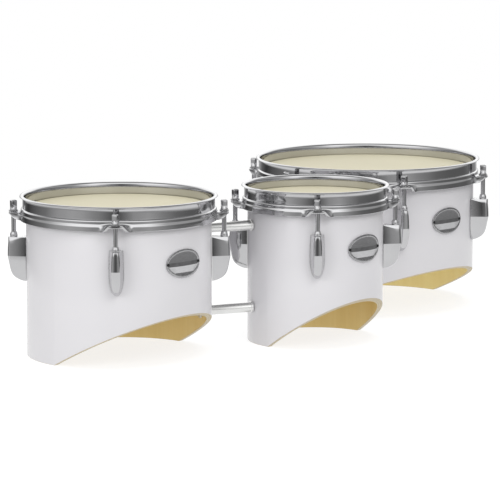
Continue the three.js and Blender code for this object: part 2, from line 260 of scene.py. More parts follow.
soft_lamp("top_lamp", 1.8, (0.1, -0.2, 2.2), 22)
soft_lamp("left_lamp", 1.4, (-2.5, -0.2, 0.9), 15)
soft_lamp("front_lamp", 1.4, (-0.9, -2.1, 1.7), 18)
print("three soft lamps")


# %% [markdown]
# ## Working helpers
# Editing tools act on all that is selected, so each step first takes one piece in hand. A finished
# piece sits at the origin with its place in its mesh, so its transform is applied.

# %% Taking a piece in hand
def take(piece):
    let_go()
    piece.select_set(True)
    bpy.context.view_layer.objects.active = piece
    return piece


def settled(piece):
    """Put the piece's place, turn and size into its mesh."""
    take(piece)
    bpy.ops.object.transform_apply(location=True, rotation=True, scale=True)
    return piece


def opened(piece):
    """Open the piece for editing."""
    take(piece)
    bpy.ops.object.mode_set(mode="EDIT")
    return piece


def start(name):
    """The primitive just added becomes a piece with this name, opened for editing."""
    piece = bpy.context.object
    piece.name = piece.data.name = name
    return opened(settled(piece))


def pick_all():
    bpy.ops.mesh.select_all(action="SELECT")


def done(piece, merge=True):
    pick_all()
    if merge:
        bpy.ops.mesh.remove_doubles(threshold=0.00001)
    bpy.ops.mesh.normals_make_consistent(inside=False)
    bpy.ops.object.mode_set(mode="OBJECT")
    return piece


def pick(piece, mode, wanted):
    """Select the vertices, edges or faces that a test on their middle accepts."""
    bpy.ops.mesh.select_mode(type=mode)
    bpy.ops.mesh.select_all(action="DESELECT")
    mesh = bmesh.from_edit_mesh(piece.data)
    kinds = {"VERT": mesh.verts, "EDGE": mesh.edges, "FACE": mesh.faces}
    count = 0
    for item in kinds[mode]:
        corners = [item] if mode == "VERT" else item.verts
        if wanted(sum((corner.co for corner in corners), Vector()) / len(corners)):
            item.select = True
            count += 1
    mesh.select_flush_mode()
    bmesh.update_edit_mesh(piece.data)
    return count


def size_of(piece):
    return [round(side / mm, 1) for side in piece.dimensions]


def modified(piece, kind, **settings):
    take(piece)
    tool = piece.modifiers.new(kind.lower(), kind)
    for key, value in settings.items():
        setattr(tool, key, value)
    bpy.ops.object.modifier_apply(modifier=tool.name)
    return piece


def softened(piece, width, segments=2, angle=35):
    return modified(piece, "BEVEL", width=width, segments=segments, limit_method="ANGLE",
                    angle_limit=math.radians(angle))


def smoothed(piece, angle=35):
    take(piece)
    bpy.ops.object.shade_smooth_by_angle(angle=math.radians(angle))
    return piece


def copied(master, name, place, turn):
    """A copy with its own mesh, turned about the upright axis and moved to its place."""
    copy = master.copy()
    copy.data = master.data.copy()
    copy.name = copy.data.name = name
    bpy.context.scene.collection.objects.link(copy)
    copy.location, copy.rotation_euler = place, (0, 0, turn)
    return settled(copy)


def fitted(piece, materials, body="drums", stands_for=()):
    piece.data.materials.clear()
    for material in materials if isinstance(materials, (list, tuple)) else [materials]:
        piece.data.materials.append(material)
    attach(piece, body)
    if stands_for:
        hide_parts(*stands_for)
    return piece


# %% [markdown]
# Most pieces of a drum are round. They are grown from one circle: each ring of the outline extrudes
# the last ring and resizes it, as on a potter's wheel. A filled circle gives a solid piece. An open
# circle whose last ring comes back to the first gives a ring-shaped one, once the two are merged.

# %% Growing a round piece
def extruded(x, y, z):
    bpy.ops.mesh.extrude_region_move(TRANSFORM_OT_translate={"value": (x, y, z)})


def drawn(x, y, z):
    """The last point of a line pulls out the next one."""
    bpy.ops.mesh.extrude_vertices_move(TRANSFORM_OT_translate={"value": (x, y, z)})


def resized(x, y, centre):
    bpy.ops.transform.resize(value=(x, y, 1), center_override=centre)


def grown(name, rings, sides=64, x=0, y=0, solid=True):
    let_go()
    radius, height = rings[0]
    bpy.ops.mesh.primitive_circle_add(vertices=sides, radius=radius, location=(x, y, height),
                                      fill_type="NGON" if solid else "NOTHING")
    piece = start(name)
    for next_radius, next_height in rings[1:]:
        extruded(0, 0, next_height - height)
        part = next_radius / radius
        if part != 1:
            resized(part, part, (x, y, next_height))
        radius, height = next_radius, next_height
    return done(piece)


# %% [markdown]
# ## Finishes
# **White covering.** The shells wear a glossy white sheet. It is almost even, so its recipe only
# needs a faint drift of tone, a slight waviness from the glue below and a roughness that varies a
# little. Two noise textures on Object coordinates do that without any picture.

# %% White covering
def material(name, colour, metal=0.0, rough=0.4):
    made = bpy.data.materials.new(name)
    made.use_nodes = True
    shader = made.node_tree.nodes["Principled BSDF"]
    shader.inputs["Base Color"].default_value = (*colour, 1)
    shader.inputs["Metallic"].default_value = metal
    shader.inputs["Roughness"].default_value = rough
    return made, made.node_tree, shader


def noise(tree, scale, detail=3, stretch=(1, 1, 1)):
    place = node(tree, "ShaderNodeTexCoord").outputs["Object"]
    if stretch != (1, 1, 1):
        place = node(tree, "ShaderNodeMapping", Vector=place, Scale=stretch).outputs[0]
    return node(tree, "ShaderNodeTexNoise", Vector=place, Scale=scale, Detail=detail).outputs["Fac"]


def tone(tree, shader, factor, low, high):
    """The colour drifts between two tones with a noise."""
    tree.links.new(ramp(tree, factor, [(0.3, low), (0.7, high)]), shader.inputs["Base Color"])


def polish(tree, shader, factor, low, high):
    """The roughness drifts between two values."""
    rough = node(tree, "ShaderNodeMapRange", Value=factor, To_Min=low, To_Max=high).outputs[0]
    tree.links.new(rough, shader.inputs["Roughness"])


def relief(tree, shader, height, depth, strength=1.0):
    bump = node(tree, "ShaderNodeBump", Strength=strength, Distance=depth, Height=height)
    tree.links.new(bump.outputs["Normal"], shader.inputs["Normal"])


covering, tree, shader = material("white_covering", (0.8, 0.79, 0.81))
tone(tree, shader, noise(tree, 9, 4), (0.765, 0.755, 0.78), (0.8, 0.79, 0.81))
polish(tree, shader, noise(tree, 35, 3), 0.14, 0.22)
relief(tree, shader, noise(tree, 120, 2), 0.00004, 0.35)
print(covering.name, len(tree.nodes), "nodes")

# %% [markdown]
# ** Wood.** Inside, the ply is bare, golden in two drums and paler in the right one. The right one's
# colour is also lightened beyond the wood's own tone: painted light that stands in for the light coming
# in through its head. The grain of its inner ply runs upwards, so a noise is squeezed sideways and
# stretched along the height, with a finer one for the pores. On the cut the plies show as thin
# layers, so that recipe measures the distance from the drum's axis. A Mapping node moves the axis to
# zero first.

# %% Bare wood and ply edge
def inner_wood(name, dark, mean, light):
    made, tree, shader = material(name, mean, 0, 0.5)
    grain = noise(tree, 60, 5, (1, 1, 0.05))
    pores = noise(tree, 420, 2, (1, 1, 0.04))
    cloud = noise(tree, 14, 3, (1, 1, 0.3))
    mixed = maths(tree, "MULTIPLY_ADD", pores, 0.3, grain)
    mixed = maths(tree, "MULTIPLY_ADD", cloud, 0.35, mixed)
    figure = ramp(tree, mixed, [(0.55, dark), (0.8, mean), (1.0, light)])
    tree.links.new(figure, shader.inputs["Base Color"])
    polish(tree, shader, pores, 0.42, 0.6)
    relief(tree, shader, pores, 0.0001, 0.4)
    return made


ply = 1.0 * mm


def ply_edge(drum):
    made, tree, shader = material(f"{drum.name}_ply_edge", (0.66, 0.57, 0.41), 0, 0.6)
    place = node(tree, "ShaderNodeTexCoord").outputs["Object"]
    centred = node(tree, "ShaderNodeMapping", Vector=place, Location=(-drum.x, -drum.y, 0)).outputs[0]
    flat = vector_maths(tree, "MULTIPLY", centred, (1, 1, 0), result="Vector")
    layer = maths(tree, "PINGPONG", vector_maths(tree, "LENGTH", flat), ply)
    layer = node(tree, "ShaderNodeMapRange", Value=layer, From_Max=ply).outputs[0]
    plies = ramp(tree, layer, [(0.0, (0.44, 0.35, 0.21)), (0.25, (0.66, 0.57, 0.41)),
                               (0.75, (0.74, 0.67, 0.5)), (1.0, (0.56, 0.47, 0.31))])
    spots = noise(tree, 300, 3)
    specks = ramp(tree, spots, [(0.3, (0.6, 0.55, 0.5)), (0.6, (1, 1, 1))])
    tree.links.new(blended(tree, 0.35, plies, specks, "MULTIPLY"), shader.inputs["Base Color"])
    relief(tree, shader, spots, 0.0001, 0.5)
    return made


golden = inner_wood("golden_ply", (0.73, 0.53, 0.185), (0.77, 0.57, 0.212), (0.8, 0.605, 0.24))
# The right drum's ply has its own paler tone, lightened further as painted light for the light coming in
# through its head.
lit_blond = inner_wood("blond_ply", (0.88, 0.71, 0.29), (0.92, 0.75, 0.32), (0.94, 0.785, 0.35))
woods = {"left": golden, "middle": golden, "right": lit_blond}
edges = {drum.name: ply_edge(drum) for drum in drums}
print(golden.name, lit_blond.name, [edge.name for edge in edges.values()])

# %% [markdown]
# **Drumhead film.** The film is a cream plastic with a rough coating, so it is matt, and its fine
# grain breaks up the light.

# %% Film
film, tree, shader = material("cream_film", (0.58, 0.54, 0.39), 0, 0.5)
tone(tree, shader, noise(tree, 6, 4), (0.56, 0.52, 0.37), (0.60, 0.56, 0.40))
grit = noise(tree, 900, 2)
polish(tree, shader, grit, 0.42, 0.6)
relief(tree, shader, grit, 0.00008, 0.5)
print(film.name, len(tree.nodes), "nodes")

# %% [markdown]
# **Metals.** Chrome is a mirror. What makes it look real is a roughness that isn't quite even and
# very slight waves in the plating. Satin steel is rougher. The link tubes are plated over a coarser
# ground, so they are bright but show no picture. The brackets are painted black.

# %% Chrome and steels
chrome, tree, shader = material("chrome", (0.59, 0.59, 0.6), 1, 0.07)
tone(tree, shader, noise(tree, 30, 3), (0.56, 0.56, 0.57), (0.61, 0.61, 0.62))
polish(tree, shader, noise(tree, 90, 4), 0.04, 0.12)
relief(tree, shader, noise(tree, 45, 2), 0.00003, 0.2)

steel, tree, shader = material("satin_steel", (0.62, 0.62, 0.63), 1, 0.28)
tone(tree, shader, noise(tree, 60, 4), (0.52, 0.52, 0.53), (0.68, 0.68, 0.69))
polish(tree, shader, noise(tree, 200, 3), 0.2, 0.36)
relief(tree, shader, noise(tree, 500, 2), 0.00003, 0.4)

satin, tree, shader = material("satin_chrome", (0.8, 0.8, 0.79), 1, 0.24)
tone(tree, shader, noise(tree, 40, 3), (0.76, 0.76, 0.75), (0.83, 0.83, 0.82))
polish(tree, shader, noise(tree, 120, 4), 0.2, 0.3)
relief(tree, shader, noise(tree, 60, 2), 0.00004, 0.3)

black, tree, shader = material("black_paint", (0.016, 0.016, 0.017), 0, 0.4)
tone(tree, shader, noise(tree, 40, 4), (0.009, 0.009, 0.01), (0.02, 0.02, 0.022))
shader.inputs["Specular IOR Level"].default_value = 0.2
polish(tree, shader, noise(tree, 150, 3), 0.32, 0.5)
relief(tree, shader, noise(tree, 700, 2), 0.00006, 0.5)
print(chrome.name, steel.name, satin.name, black.name)

# %% [markdown]
# ## Shells
# A shell is a tube of six plies. Its top is cut to a bearing edge: rounded outside, slanting down
# inside, so that the head touches wood on one thin ring. The front is sawn off on a slant. The
# tube is grown ring by ring, and one bisect makes the saw cut and fills it.

# %% Make the shells
shell_wall = 6 * mm
cut_rise = 54 * mm
cut_turns = {"left": math.radians(2.7), "middle": 0, "right": 0}
outside, inside, sawn = 0, 1, 2


def make_shell(drum):
    name, x, y, outer = drum.name, drum.x, drum.y, drum.radius
    inner = outer - shell_wall
    outline = [(outer, 0), (outer, shell_top - 1.2 * mm), (outer - 0.4 * mm, shell_top - 0.35 * mm),
               (outer - 1.3 * mm, shell_top), (inner, shell_top - 4.7 * mm), (inner, 0), (outer, 0)]
    shell = grown(f"{name}_shell_finished", outline, 180, x, y, solid=False)
    cut = math.radians(-90) + cut_turns[name]
    slope = cut_rise / outer
    opened(shell)
    pick_all()
    bpy.ops.mesh.bisect(plane_co=(x, y, 0), plane_no=(-slope * math.cos(cut), -slope * math.sin(cut), 1),
                        use_fill=True, clear_inner=True)
    done(shell)
    softened(shell, 0.35 * mm, 2, 40)
    smoothed(shell, 30)
    fitted(shell, [covering, woods[name], edges[name]], stands_for=[f"{name}_shell"])
    for face in shell.data.polygons:
        out = math.hypot(face.center.x - x, face.center.y - y)
        upright = abs(face.normal.z) < 0.3
        if upright and out > outer - 1 * mm:
            face.material_index = outside
        elif upright and out < inner + 1 * mm:
            face.material_index = inside
        else:
            face.material_index = sawn
    return shell


for drum in drums:
    shell = make_shell(drum)
    print(shell.name, len(shell.data.polygons), "faces")

# %% [markdown]
# ## Drumheads
# The film lies on the bearing edge, turns down outside it and is gripped by the flesh hoop, a light
# metal ring. The film is grown from the flesh hoop upwards and closed by a flat face, and Solidify
# gives it its thickness. The flesh hoop is a ring with soft edges.

# %% Make the drumheads
film_thickness = 0.4 * mm


def make_head(drum):
    name, x, y, radius = drum.name, drum.x, drum.y, drum.radius
    collar = radius + 0.75 * mm
    outline = [(collar, flesh_hoop_foot + 1.5 * mm), (collar, head_top - 1.9 * mm),
               (collar - 0.25 * mm, head_top - 1.0 * mm), (collar - 1.0 * mm, head_top - 0.35 * mm),
               (collar - 2.2 * mm, head_top - 0.08 * mm), (collar - 4 * mm, head_top),
               (collar - 20 * mm, head_top)]
    head = opened(grown(f"{name}_film", outline, 180, x, y, solid=False))
    pick(head, "VERT", lambda spot: math.hypot(spot.x - x, spot.y - y) < radius - 15 * mm)
    bpy.ops.mesh.edge_face_add()
    done(head)
    modified(head, "SOLIDIFY", thickness=film_thickness, offset=-1, use_even_offset=True)
    fitted(smoothed(head, 40), film, stands_for=[f"{name}_drumhead"])
    inner, outer = radius + 1.2 * mm, radius + 3.4 * mm
    ring = [(inner, flesh_hoop_foot), (outer, flesh_hoop_foot), (outer, flesh_hoop_top),
            (inner, flesh_hoop_top), (inner, flesh_hoop_foot)]
    hoop = softened(grown(f"{name}_flesh_hoop", ring, 180, x, y, solid=False), 0.6 * mm, 3)
    fitted(smoothed(hoop), steel, stands_for=[f"{name}_drumhead"])
    return head


for drum in drums:
    print(make_head(drum).name, "and its flesh hoop")

# %% [markdown]
# ## Counterhoops
# The counterhoop presses the flesh hoop down. It is pressed from one sheet: a lip rolled outwards, a
# wall, a shoulder that sits on the flesh hoop, and a skirt. At each rod the skirt is folded out into
# a flat ear, and the sheet turns smoothly from skirt to ear. One half of one ear's stretch is
# modelled: the section is drawn by extruding a point, and a spin sweeps it along. The spin takes
# small steps at the ear and longer ones beyond. No tool folds the sheet by a different angle at each
# step, so the fold is put into the points by a rule. A mirrored copy, a spin that copies and Solidify
# do the rest, and a boolean drills the rod holes.

# %% The section of the sheet
sheet = 2.2 * mm
ear_half, ear_reach, skirt_drop = 20 * mm, 14.0 * mm, 6.65 * mm
rod_offset, skirt_offset, skirt_swell = 13.7 * mm, 4.7 * mm, 1.0 * mm
fold_rows, fold_step = 5, 0.75 * mm
strip_parts = (0.2, 0.45, 0.7, 0.88, 1)
fold_turns = [math.radians(90) * k / (fold_rows + 1) for k in range(1, fold_rows + 1)]
fold_top = ear_middle + sum(fold_step * math.cos(turn) for turn in fold_turns)


def bend(out, up, radius, first, last, steps):
    """Points on a bend, between two angles in degrees."""
    turns = [math.radians(first + (last - first) * k / steps) for k in range(steps + 1)]
    return [(out + radius * math.cos(t), up + radius * math.sin(t)) for t in turns]


def sheet_section(radius):
    lip, wall, skirt = rim_top - sheet / 2, radius + 2.7 * mm, radius + skirt_offset
    roll, lean, turn = 1.5 * mm, 0.3 * mm, 1.0 * mm
    points = [(radius + 6.05 * mm, lip - 0.85 * mm), (radius + 5.75 * mm, lip - 0.3 * mm),
              (radius + 5.1 * mm, lip)]
    points += bend(wall + lean + roll, lip - roll, roll, 90, 173, 6)
    points += [(wall, rim_top - 5.3 * mm), (wall, rim_top - 9 * mm)]
    points += bend(wall + turn, shoulder_middle + turn, turn, 180, 270, 4)
    points += bend(skirt - turn, shoulder_middle - turn, turn, 90, 0, 4)
    rows = fold_rows + len(strip_parts)
    return points + [(skirt, fold_top - k * mm) for k in range(rows + 1)]


print(len(sheet_section(left.radius)), "points in the section")


# %% The fold at an ear
fold_start, short_start = 6 * mm, 4 * mm


def eased(share):
    share = min(1, max(0, share))
    return share * share * (3 - 2 * share)


def skirt_fold(distance):
    """How far the sheet is folded out, and how long it is, at a distance from the middle of an ear."""
    turned = eased((distance - fold_start) / (ear_half - fold_start))
    shortened = eased((distance - short_start) / (ear_half - fold_start))
    return math.pi / 2 * (1 - turned), ear_reach + (skirt_drop - ear_reach) * shortened


def folded_strip(distance):
    """Where the rows below the fold come to lie: how far outside the skirt, and how high."""
    angle, length = skirt_fold(distance)
    out, up, rows = 0, fold_top, []
    for k in range(1, fold_rows + 1):
        heading = angle * k / (fold_rows + 1)
        out, up = out + fold_step * math.sin(heading), up - fold_step * math.cos(heading)
        rows.append((out, up))
    left_over = length - out * math.sin(angle) + (up - ear_middle) * math.cos(angle)
    for part in strip_parts:
        rows.append((out + part * left_over * math.sin(angle), up - part * left_over * math.cos(angle)))
    swell = skirt_swell * (1 - angle / (math.pi / 2))
    return [(out + swell * eased((fold_top - up - 1 * mm) / (3.4 * mm)), up) for out, up in rows]


def fold_ear(hoop, radius):
    """Put every column's lower rows where the fold takes them."""
    mesh = bmesh.from_edit_mesh(hoop.data)
    columns = {}
    for vertex in mesh.verts:
        if vertex.co.z < fold_top - 0.1 * mm:
            azimuth = round(math.atan2(vertex.co.y, vertex.co.x), 5)
            columns.setdefault(azimuth, []).append(vertex)
    for azimuth, column in columns.items():
        column.sort(key=lambda vertex: -vertex.co.z)
        distance = abs(azimuth) * (radius + rod_offset)
        for vertex, (out, up) in zip(column, folded_strip(distance)):
            out += radius + skirt_offset
            vertex.co = (out * math.cos(azimuth), out * math.sin(azimuth), up)
    bmesh.update_edit_mesh(hoop.data)
    return len(columns)


print("in the middle of an ear the sheet is folded out", round(math.degrees(skirt_fold(0)[0])), "degrees")


# %% Make the counterhoops
ear_steps, plain_steps = 16, 12
rod_hole = 3.15 * mm


def around(drum, out, turn, height):
    """A place at a distance from a drum's axis, in a direction."""
    return drum.x + out * math.cos(turn), drum.y + out * math.sin(turn), height


def make_hoop(drum):
    name, radius, count = drum.name, drum.radius, len(drum.turns)
    ear_zone = ear_half / (radius + rod_offset)
    stretch = math.pi / count
    let_go()
    bpy.ops.mesh.primitive_plane_add(size=mm)
    hoop = start(f"{name}_counterhoop_finished")
    bpy.ops.mesh.merge(type="CENTER")
    points = sheet_section(radius)
    bpy.ops.transform.translate(value=(points[0][0], 0, points[0][1]))
    for (out, up), (next_out, next_up) in zip(points, points[1:]):
        drawn(next_out - out, 0, next_up - up)
    pick_all()
    bpy.ops.mesh.spin(steps=ear_steps, angle=ear_zone, center=(0, 0, 0), axis=(0, 0, 1))
    bpy.ops.mesh.spin(steps=plain_steps, angle=stretch - ear_zone, center=(0, 0, 0), axis=(0, 0, 1))
    columns = fold_ear(hoop, radius)
    pick_all()
    bpy.ops.mesh.duplicate()
    resized(1, -1, (0, 0, 0))
    pick_all()
    bpy.ops.mesh.spin(steps=count - 1, angle=2 * math.pi * (count - 1) / count, dupli=True,
                      center=(0, 0, 0), axis=(0, 0, 1))
    pick_all()
    bpy.ops.mesh.remove_doubles(threshold=0.02 * mm)
    done(hoop, merge=False)
    modified(hoop, "SOLIDIFY", thickness=sheet, offset=0, use_even_offset=True, use_quality_normals=True)
    softened(hoop, 0.5 * mm, 3, 60)
    hoop.location, hoop.rotation_euler = (drum.x, drum.y, 0), (0, 0, drum.turns[0])
    settled(hoop)
    drills = []
    for turn in drum.turns:
        let_go()
        bpy.ops.mesh.primitive_cylinder_add(vertices=24, radius=rod_hole, depth=8 * mm,
                                            location=around(drum, radius + rod_offset, turn, ear_middle))
        drills.append(bpy.context.object)
    take(drills[0])
    for drill in drills:
        drill.select_set(True)
    bpy.ops.object.join()
    modified(hoop, "BOOLEAN", operation="DIFFERENCE", solver="EXACT", object=drills[0])
    bpy.data.objects.remove(drills[0])
    smoothed(hoop, 40)
    fitted(hoop, chrome, stands_for=[f"{name}_counter_hoop"])
    print(hoop.name, columns, "columns,", len(hoop.data.polygons), "faces")
    return hoop


for drum in drums:
    make_hoop(drum)

# %% [markdown]
# ## Lugs
# A lug is a hollow casting that is screwed to the shell from inside. Seen from above it is a block
# that narrows to a front half as wide. Its upper half leans in a little, a crease runs round it just
# above half height, and below that it tapers to a tongue. Its top edge is chamfered, more so towards
# the front. The plan outline is a plane whose front edge is drawn in and whose front corners are
# bevelled. It is extruded down step by step, and each step is resized. The crease is marked sharp,
# because smooth shading would hide it.

# %% Make one lug
lug_back, lug_deep, lug_wide = -13.4 * mm, 20.5 * mm, 17 * mm
front_share, front_corner = 0.53, 2.6 * mm
lug_chamfer = math.radians(16)
crease = 0.425
top_deep, top_wide = 0.985, 0.9
lug_steps = [(0.24, 0.975, 0.965), (0.33, 0.985, 0.985), (crease, 0.99, 1.0), (0.5, 0.957, 0.995),
             (0.57, 0.922, 0.985), (0.645, 0.888, 0.965), (0.715, 0.853, 0.93), (0.775, 0.81, 0.87),
             (0.825, 0.757, 0.8), (0.865, 0.692, 0.735), (0.9, 0.607, 0.67), (0.928, 0.515, 0.595),
             (0.953, 0.41, 0.505), (0.975, 0.3, 0.405), (0.991, 0.19, 0.3), (1.0, 0.1, 0.2)]


def rotated(angle, axis, centre):
    """A turn by the right-hand rule. Without a window the tool turns the other way."""
    bpy.ops.transform.rotate(value=-angle, orient_axis=axis, center_override=centre)


def make_lug():
    let_go()
    bpy.ops.mesh.primitive_plane_add(size=1, location=(lug_back + lug_deep / 2, 0, lug_top))
    bpy.context.object.scale = (lug_deep, lug_wide, 1)
    lug = start("lug_model")
    pick(lug, "VERT", lambda spot: spot.x > 0)
    resized(1, front_share, (0, 0, lug_top))
    bpy.ops.mesh.bevel(offset=front_corner, affect="VERTICES", segments=4)
    pick_all()
    resized(top_deep, top_wide, (lug_back, 0, lug_top))
    height = lug_top - 0.05 * mm
    extruded(0, 0, height - lug_top)
    rotated(lug_chamfer, "Y", (lug_back, 0, height))
    tilted, deep, wide = True, top_deep, top_wide
    for share, next_deep, next_wide in lug_steps:
        down = lug_top - share * lug_height
        extruded(0, 0, down - height)
        if tilted:
            rotated(-lug_chamfer, "Y", (lug_back, 0, down))
            tilted = False
        resized(next_deep / deep, next_wide / wide, (lug_back, 0, down))
        deep, wide, height = next_deep, next_wide, down
    pick(lug, "VERT", lambda spot: spot.z > lug_top - 0.02 * mm and spot.x > lug_back + 5 * mm)
    resized(0.96, 0.78, (lug_back, 0, lug_top))
    done(lug)
    return lug


lug_model = make_lug()
print("lug", size_of(lug_model), "mm")

# %% Hollow the lug, and set out the copies
nut_room, shank_room = (3.8 * mm, 115.7 * mm, 135 * mm), (3.16 * mm, 102.5 * mm, 116 * mm)


def drilled(piece, cuts):
    """Upright holes: each is (radius, lowest, highest) on the piece's own axis."""
    for radius, low, high in cuts:
        let_go()
        bpy.ops.mesh.primitive_cylinder_add(vertices=24, radius=radius, depth=high - low,
                                            location=(0, 0, (low + high) / 2))
        drill = bpy.context.object
        modified(piece, "BOOLEAN", operation="DIFFERENCE", solver="EXACT", object=drill)
        bpy.data.objects.remove(drill)


def on_crease(spot):
    away_from_shell = abs(spot.y) + spot.x + 13 * mm > 6 * mm
    return away_from_shell and abs(spot.z - (lug_top - crease * lug_height)) < 0.2 * mm


def rod_places():
    """The drum, number, direction and place of every rod."""
    for drum in drums:
        for number, turn in enumerate(drum.turns, 1):
            yield drum.name, number, turn, around(drum, drum.radius + rod_offset, turn, 0)


softened(lug_model, 0.45 * mm, 2, 28)
drilled(lug_model, [nut_room, shank_room])
opened(lug_model)
marked = pick(lug_model, "EDGE", on_crease)
bpy.ops.mesh.mark_sharp()
bpy.ops.object.mode_set(mode="OBJECT")
smoothed(lug_model, 32)
for name, number, turn, place in rod_places():
    lug = copied(lug_model, f"{name}_lug_{number}_finished", place, turn)
    fitted(lug, chrome, stands_for=[f"{name}_lug_{number}"])
bpy.data.objects.remove(lug_model)
print("14 lugs, crease", marked, "edges")

# %% [markdown]
# ## Swivel nuts
# Each rod turns in a nut that can tip a little in its lug, so that the rod never binds. Its tapered
# collar stands on the lug. It is a ring-shaped piece, grown round its bore.

# %% Make the swivel nuts
collar_foot, collar_top, nut_foot = 130.0 * mm, 135.4 * mm, 116.0 * mm
nut_bore, nut_barrel = 2.85 * mm, 3.6 * mm
nut_outline = [(nut_bore, nut_foot), (nut_barrel, nut_foot), (nut_barrel, collar_foot),
               (4.1 * mm, collar_foot), (4.15 * mm, collar_foot + 1.6 * mm),
               (3.9 * mm, collar_foot + 3.2 * mm), (3.45 * mm, collar_foot + 4.6 * mm),
               (3.1 * mm, collar_top), (nut_bore, collar_top), (nut_bore, nut_foot)]
nut_model = softened(grown("nut_model", nut_outline, 32, solid=False), 0.25 * mm, 2)
smoothed(nut_model)
for name, number, turn, place in rod_places():
    nut = copied(nut_model, f"{name}_swivel_nut_{number}_finished", place, turn)
    fitted(nut, steel, stands_for=[f"{name}_swivel_nut_{number}"])
bpy.data.objects.remove(nut_model)
print("14 swivel nuts")

# %% [markdown]
# ## Tension rods
# A rod has a square head for the drum key, a cone, a flange that presses on the ear, a plain shank
# and a thread. The round part is grown, the head is a cube with bevelled edges, and the Screw
# modifier winds a small ridge down the rod for the thread. Every rod is left at another angle, as it
# is after tuning.

# %% Make the tension rods
rod_tip, thread_top, pitch = 104.55 * mm, 134.0 * mm, 1.06 * mm
flange_top, cone_top = rod_seat + 1.2 * mm, rod_seat + 5.4 * mm
thread_root, shank, flange = 2.3 * mm, 2.55 * mm, 5.2 * mm
head_side, head_height, head_sunk = 6.3 * mm, 7.0 * mm, 2.4 * mm
ridge = 0.33 * mm
first_rod_turn, rod_turn_step = 28, 41


def make_rod():
    stem = [(1.8 * mm, rod_tip), (thread_root, rod_tip + 0.8 * mm), (thread_root, thread_top),
            (shank, thread_top + 0.4 * mm), (shank, rod_seat), (5.0 * mm, rod_seat),
            (flange, rod_seat + 0.2 * mm), (flange, flange_top - 0.2 * mm), (5.0 * mm, flange_top),
            (4.5 * mm, flange_top + 0.5 * mm), (3.6 * mm, flange_top + 2.2 * mm), (3.2 * mm, cone_top),
            (2.9 * mm, cone_top + 0.3 * mm)]
    rod = grown("rod_model", stem, 32)
    smoothed(rod, 30)
    let_go()
    low = cone_top - head_sunk
    bpy.ops.mesh.primitive_cube_add(size=1, location=(0, 0, (low + cone_top + head_height) / 2))
    bpy.context.object.scale = (head_side, head_side, cone_top + head_height - low)
    head = start("rod_head")
    pick(head, "FACE", lambda spot: spot.z > cone_top + head_height - 0.01 * mm)
    bpy.ops.mesh.inset(thickness=0.9 * mm)
    opened(done(head))
    pick(head, "VERT", lambda spot: spot.z > cone_top and max(abs(spot.x), abs(spot.y)) > 3.0 * mm)
    bpy.ops.transform.translate(value=(0, 0, -0.6 * mm))
    pick(head, "VERT", lambda spot: spot.z < cone_top - 1 * mm)
    resized(0.98, 0.98, (0, 0, low))
    done(head)
    smoothed(softened(head, 0.55 * mm, 3), 30)
    let_go()
    bpy.ops.mesh.primitive_plane_add(size=mm)
    thread = start("rod_thread")
    bpy.ops.mesh.merge(type="CENTER")
    bpy.ops.transform.translate(value=(2.27 * mm, 0, rod_tip + 1 * mm))
    drawn(ridge, 0, pitch / 2)
    drawn(-ridge, 0, pitch / 2)
    bpy.ops.object.mode_set(mode="OBJECT")
    turns = int((thread_top - rod_tip - 2 * mm) / pitch) - 1
    modified(thread, "SCREW", axis="Z", angle=2 * math.pi, screw_offset=pitch, iterations=turns, steps=16,
             render_steps=16, use_merge_vertices=True, merge_threshold=0.01 * mm)
    smoothed(thread, 30)
    take(rod)
    head.select_set(True)
    thread.select_set(True)
    bpy.ops.object.join()
    return done(opened(rod), merge=False)


rod_model = make_rod()
print("tension rod", size_of(rod_model), "mm")
for name, number, _, place in rod_places():
    turn = math.radians(first_rod_turn + rod_turn_step * (number - 1))
    rod = copied(rod_model, f"{name}_tension_rod_{number}_finished", place, turn)
    fitted(rod, chrome, f"{name}_rod_{number}", [f"{name}_tension_rod_{number}"])
bpy.data.objects.remove(rod_model)

# %% [markdown]
# ## Badges
# Each drum has an oval metal badge on its front, held by two rivets. Its field is bare here: grey,
# with a dark band across and a bright strip below the band, inside a raised rim. The dark band and
# the bright strip are painted reflections. The plate is a flat circle made oval. An inset makes the
# rim, bisects cut the edges of the band and of the strip, and Simple Deform bends the plate to the
# shell's curve. The other bisects give it columns to bend at.

# %% Badge finishes
badge_steel, tree, shader = material("badge_steel", (0.45, 0.45, 0.46), 1, 0.25)
tone(tree, shader, noise(tree, 80, 3), (0.40, 0.40, 0.41), (0.5, 0.5, 0.51))
polish(tree, shader, noise(tree, 250, 3), 0.18, 0.34)
relief(tree, shader, noise(tree, 600, 2), 0.00003, 0.4)

badge_grey, tree, shader = material("badge_grey", (0.2, 0.2, 0.205), 0.6, 0.4)
brushed = noise(tree, 220, 3, (1, 1, 14))
tone(tree, shader, brushed, (0.16, 0.16, 0.165), (0.25, 0.25, 0.255))
polish(tree, shader, brushed, 0.34, 0.5)
relief(tree, shader, brushed, 0.00003, 0.5)

# The dark band across the field is a painted reflection.
badge_dark_reflection, tree, shader = material("badge_dark_band", (0.11, 0.11, 0.113), 0.3, 0.4)
tone(tree, shader, noise(tree, 200, 3), (0.09, 0.09, 0.093), (0.14, 0.14, 0.143))
polish(tree, shader, noise(tree, 250, 3), 0.3, 0.45)
relief(tree, shader, noise(tree, 800, 2), 0.00003, 0.4)

# The bright strip below the band is a painted reflection.
badge_bright, tree, shader = material("badge_bright", (0.75, 0.75, 0.76), 0.5, 0.35)
brushed = noise(tree, 220, 3, (1, 1, 14))
tone(tree, shader, brushed, (0.62, 0.62, 0.64), (0.78, 0.78, 0.79))
polish(tree, shader, brushed, 0.28, 0.42)
relief(tree, shader, brushed, 0.00003, 0.4)
badge_finishes = [badge_steel, badge_grey, badge_dark_reflection, badge_bright]
print("badge finishes:", [finish.name for finish in badge_finishes])


